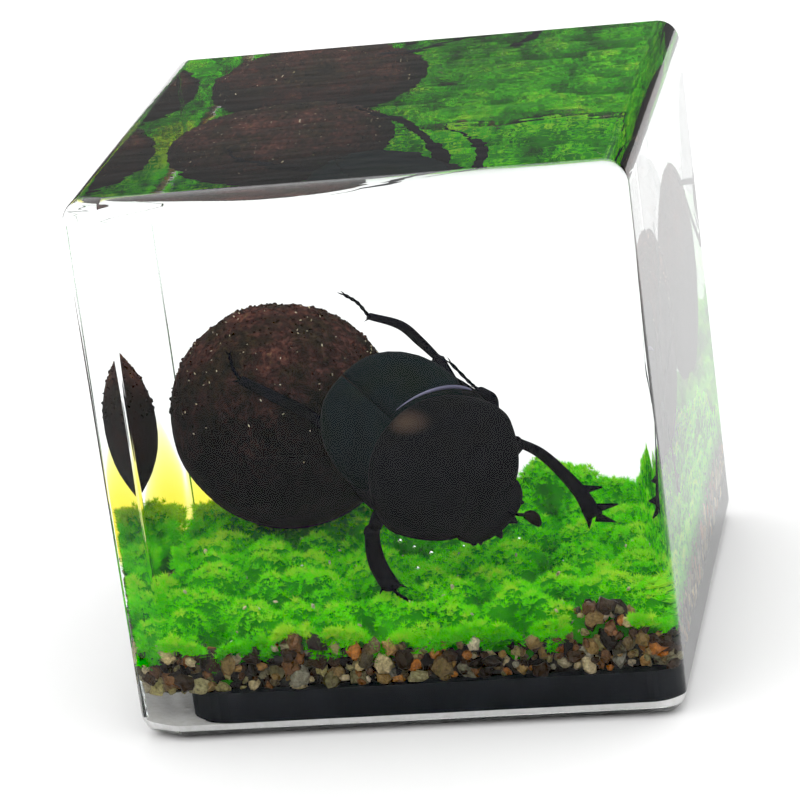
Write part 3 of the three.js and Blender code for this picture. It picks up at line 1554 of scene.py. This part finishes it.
for name, leg in LEGS.items():
    place, side = leg["hip"]
    hip = BEETLE_PLACE @ Vector((HIPS[place][0], HIPS[place][1] * side, HIPS[place][2]))
    mesh = bmesh.new()
    smooth_limb(mesh, [hip, *leg["thigh"]], leg["thigh_widths"], flat=0.6)
    smooth_limb(mesh, leg["shin"], leg["shin_widths"], flat=0.62)
    knee = Matrix.Translation(leg["shin"][0])
    knee_size = leg["shin_widths"][0] * 0.58
    bmesh.ops.create_uvsphere(mesh, u_segments=14, v_segments=10, radius=knee_size, matrix=knee)
    for root, tip, width in leg["spurs"]:
        spike(mesh, root, tip, width)
    if leg["foot"]:
        foot_path = smooth_path(leg["foot"], steps=FOOT_JOINTS)
        beads = [
            FOOT_WIDTH * (1.15 if i % 2 else 0.75) for i in range(len(foot_path))
        ]
        limb(mesh, foot_path, beads, sides=8)
        way = (foot_path[-1] - foot_path[-2]).normalized()
        aside = way.cross(Vector((0, 0, 1))).normalized()
        for sign in (1, -1):
            claw = [
                foot_path[-1],
                foot_path[-1] + (way + sign * aside * 0.7) * CLAW_LENGTH * 0.5,
                foot_path[-1] + (way * 1.1 + sign * aside * 0.5) * CLAW_LENGTH,
            ]
            smooth_limb(mesh, claw, [0.2, 0.16, 0.05], sides=6, steps=3)
    bmesh.ops.recalc_face_normals(mesh, faces=mesh.faces)
    finish_piece(name, mesh, leg_material)

# %% Feelers
# Each ends in a small brown club of three leaves. One reaches out beside the head.
FEELERS = {
    "feeler_far": {
        "stalk": [(12.0, -14.6, 21.0), (12.8, -15.0, 20.7), (13.7, -15.2, 20.6)],
        "club": [(13.7, -15.2, 20.6), (14.6, -15.3, 20.3), (15.3, -15.3, 19.4)],
    },
    "feeler_near": {
        "stalk": [(9.0, -14.5, 18.5), (8.6, -14.0, 18.1), (8.3, -13.6, 17.9)],
        "club": [(8.3, -13.6, 17.9), (7.8, -13.2, 17.6), (7.1, -13.0, 17.6)],
    },
}

for name, feeler in FEELERS.items():
    mesh = bmesh.new()
    smooth_limb(mesh, feeler["stalk"], [0.55, 0.4, 0.4], sides=8)
    bmesh.ops.recalc_face_normals(mesh, faces=mesh.faces)
    finish_piece(name + "_stalk", mesh, leg_material)
    mesh = bmesh.new()
    for leaf in (-0.22, 0.0, 0.22):
        shifted = [Vector(point) + Vector((0, leaf, leaf * 0.4)) for point in feeler["club"]]
        smooth_limb(mesh, shifted, [0.5, 1.25, 1.3, 0.5], sides=10, flat=0.35)
    bmesh.ops.recalc_face_normals(mesh, faces=mesh.faces)
    finish_piece(name + "_club", mesh, club_material)

# %% Painted highlight on the hind margin of the chest shield
# A pale violet line along the shield's hind edge is a painted highlight, on the far half only,
# where light falls. A thin limb lies along the edge, in the level beetle's places.
MARGIN_HALF_WIDTH = 8.3
MARGIN_HEIGHT = 5.0
MARGIN_INSET = 0.15

margin_path = []
for degrees in range(12, 86, 3):
    angle = math.radians(degrees)
    y = MARGIN_HALF_WIDTH * signed_power(math.cos(angle), 0.9)
    z = MARGIN_HEIGHT * math.sin(angle)
    x = SHIELD_TAIL + MARGIN_INSET + MARGIN_ARC * y**2
    margin_path.append(BEETLE_PLACE @ Vector((x, y, z)))
margin = bmesh.new()
limb(margin, margin_path, spread([0.15, 0.4, 0.45, 0.35, 0.2, 0.06], len(margin_path)), sides=8)
bmesh.ops.recalc_face_normals(margin, faces=margin.faces)
finish_piece("shield_margin_painted_highlight", margin, margin_highlight_material)

# %% Straw
# One thin stalk of dry grass, in the dung's colour and its painted shade, stuck along the side of the ball.
STRAW_PATH = [(-17.6, 4.6, 24.5), (-13.0, 4.9, 24.2), (-8.7, 6.4, 23.6), (-5.7, 9.0, 22.6)]

straw = bmesh.new()
smooth_limb(straw, STRAW_PATH, [0.12, 0.3, 0.34, 0.25], sides=6)
bmesh.ops.recalc_face_normals(straw, faces=straw.faces)
finish_piece("straw_on_ball", straw, dung_material)

# %% [markdown]
# ## Bubbles and crumbs
# Air trapped in the moss leaves bright bubbles, and a few pale crumbs of stone and husk lie
# on it. A bubble in resin is modelled as a closed ball with its faces inwards-to-outwards as
# usual and an index below that of resin, which is what air is to light inside the block.

# %% Trapped air
# Air in resin: light leaves resin for air, so the index is that of air over that of resin.
air_material, tree = new_material("trapped_air_bubble")
air_place = add_node(tree, "ShaderNodeTexCoord")
air_film = add_node(
    tree, "ShaderNodeTexNoise", inputs={"Vector": air_place.outputs["Object"], "Scale": 600.0}
)
air_surface = add_node(
    tree,
    "ShaderNodeBsdfPrincipled",
    inputs={
        "Base Color": paint_ramp(
            tree, air_film.outputs["Fac"], [(0.0, "#f4f8f4"), (1.0, "#ffffff")]
        ),
        "Roughness": 0.02,
        "IOR": 1.0 / RESIN_INDEX,
        "Transmission Weight": 1.0,
    },
)
add_node(tree, "ShaderNodeOutputMaterial", inputs={"Surface": air_surface.outputs["BSDF"]})

# %% Bubbles in the moss and the resin
BUBBLE_COUNT = 14
BUBBLE_SIZE = (0.08, 0.3)
HOLLOW_BUBBLES = [
    (-3.0, 5.2, 13.3, 0.3),
    (-1.2, 3.2, 13.0, 0.22),
    (0.9, 1.0, 12.7, 0.28),
]

bubbles = bmesh.new()
bubble_spots = list(HOLLOW_BUBBLES)
for _ in range(BUBBLE_COUNT):
    x = dice.uniform(moss_low.x, moss_high.x)
    y = dice.uniform(moss_low.y, moss_high.y)
    bubble_spots.append((x, y, moss_height(x, y) + 0.2, dice.uniform(*BUBBLE_SIZE)))
for x, y, z, size in bubble_spots:
    bmesh.ops.create_icosphere(
        bubbles, subdivisions=2, radius=size, matrix=Matrix.Translation((x, y, z))
    )
finish_piece("air_bubbles", bubbles, air_material)

# %% Husks on the ball
# A few dozen pale flecks of grass husk are caught in the upper crust of the ball.
HUSK_COUNT = 150
HUSK_LENGTH = (0.07, 0.22)

husk_matrices = []
while len(husk_matrices) < HUSK_COUNT:
    direction = Vector([dice.gauss(0, 1) for _ in range(3)]).normalized()
    upper = direction.z > dice.uniform(-0.3, 0.7)
    if not upper or direction.x < -0.85:
        continue
    size = dice.uniform(*HUSK_LENGTH)
    spot = BALL_CENTRE + direction * (1.004 + ball_roughness(direction)) * BALL_RADII
    shape = Matrix.Diagonal((size, size * 0.3, size * 0.25, 1.0))
    husk_matrices.append(Matrix.Translation(spot) @ turned(dice) @ shape)
husks = bmesh.new()
husk_tones = [dice.uniform(0.95, 1.0) for _ in husk_matrices]
scatter(husks, pebble_mesh, husk_matrices, "stone_tone", husk_tones)
finish_piece("husks_on_ball", husks, stone_material, smooth=False)

# %% Dye bled from the moss
# In the back left corner the dye of the moss has bled up into the resin and stains it
# yellow. It is resin in resin, so light isn't bent where the stain begins.
STAIN_CENTRE = Vector((-27.9, 26.0, 11.5))
STAIN_RADII = Vector((4.2, 4.4, 14.0))
STAIN_FOOT_Z = 8.0

stain_material, tree = new_material("dye_stained_resin")
stain_place = add_node(tree, "ShaderNodeTexCoord")
stain_cloud = add_node(
    tree, "ShaderNodeTexNoise", inputs={"Vector": stain_place.outputs["Object"], "Scale": 200.0}
)
stain_surface = add_node(
    tree,
    "ShaderNodeBsdfPrincipled",
    inputs={
        "Base Color": paint_ramp(
            tree, stain_cloud.outputs["Fac"], [(0.0, "#fffff4"), (1.0, "#ffffff")]
        ),
        "Roughness": 0.0,
        "IOR": 1.0,
        "Transmission Weight": 1.0,
    },
)
stain_depth = add_node(
    tree, "ShaderNodeVolumeAbsorption", inputs={"Color": linear("#fff800"), "Density": 380.0}
)
add_node(
    tree,
    "ShaderNodeOutputMaterial",
    inputs={"Surface": stain_surface.outputs["BSDF"], "Volume": stain_depth.outputs["Volume"]},
)
stain = bmesh.new()
bmesh.ops.create_icosphere(stain, subdivisions=4, radius=1.0)
for vert in stain.verts:
    rise = min(max(vert.co.z, 0.0), 0.999)
    taper = math.sqrt((1 - rise) / (1 + rise))
    reach = Vector((STAIN_RADII.x * taper, STAIN_RADII.y * taper, STAIN_RADII.z))
    vert.co = STAIN_CENTRE + vert.co * reach
    vert.co.x = max(vert.co.x, BLOCK_LOW.x + 0.25)
    vert.co.y = min(vert.co.y, BLOCK_HIGH.y - 0.25)
    vert.co.z = max(vert.co.z, STAIN_FOOT_Z)
finish_piece("dye_stain", stain, stain_material)

# %% Pale crumbs
CRUMB_SPOTS = 46

pale_crumbs = bmesh.new()
matrices = []
for _ in range(CRUMB_SPOTS):
    x = dice.uniform(moss_low.x, moss_high.x)
    y = moss_low.y + (moss_high.y - moss_low.y) * dice.random() ** 1.6
    size = dice.uniform(0.12, 0.36)
    shape = Matrix.Diagonal((size, size * 0.7, size * 0.5, 1.0))
    spot = Vector((x, y, moss_height(x, y) + 0.1))
    matrices.append(Matrix.Translation(spot) @ turned(dice) @ shape)
scatter(pale_crumbs, pebble_mesh, matrices, "stone_tone", [0.93 + 0.07 * dice.random() for _ in matrices])
finish_piece("pale_crumbs", pale_crumbs, stone_material, smooth=False)
